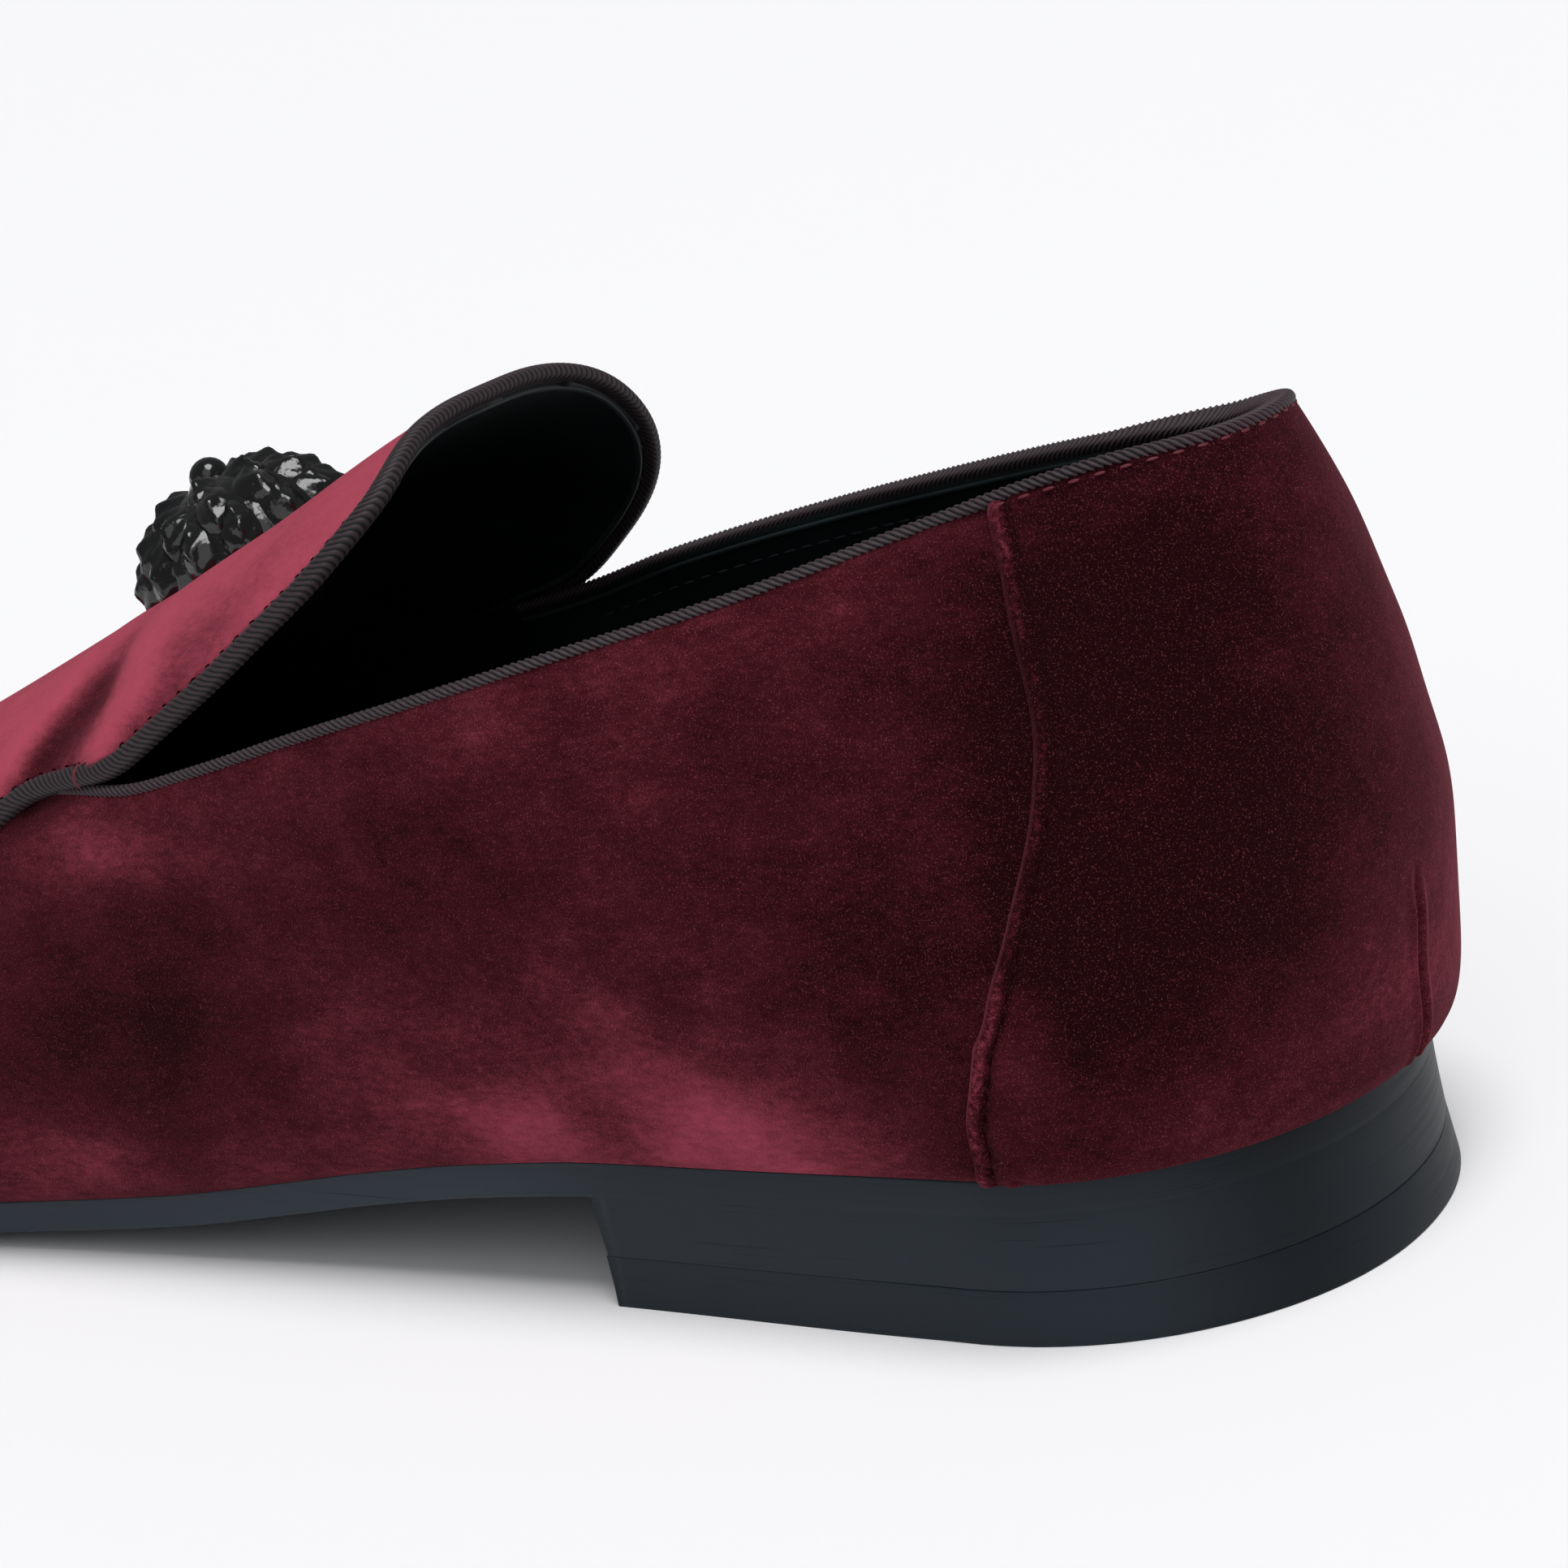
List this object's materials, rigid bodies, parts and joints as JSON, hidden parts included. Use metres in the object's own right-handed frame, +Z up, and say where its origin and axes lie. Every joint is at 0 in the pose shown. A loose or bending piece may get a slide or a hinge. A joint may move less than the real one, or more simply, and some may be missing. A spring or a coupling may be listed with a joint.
{
  "type": "loafer",
  "caption": "Left velvet loafer with a hollow lasted upper, high bound tongue, raised heel counter, domed black brooch, thin sole and low stacked heel",
  "frame": {"origin": "middle of the shoe's bounding box, on the floor under the sole", "axes": "+Y runs from heel to toe, +Z is up, the outer side of the foot lies at -X"},
  "size_m": [0.1038, 0.3028, 0.0856],
  "materials": {
    "sole_black": "satin blue-black edge dressing",
    "lift_black": "satin black rubber",
    "lining_black": "smooth black lining leather",
    "velvet": "wine velvet with a brushed nap",
    "grosgrain": "ribbed charcoal ribbon",
    "jet": "glossy black casting"
  },
  "bodies": {
    "root": {"outsole": "sole_black", "heel_block": "sole_black", "top_lift": "lift_black", "insole": "lining_black", "upper": "velvet", "counter": "velvet", "topline_binding": "grosgrain", "vamp_binding": "grosgrain", "brooch": "jet"}
  },
  "joints": []
}
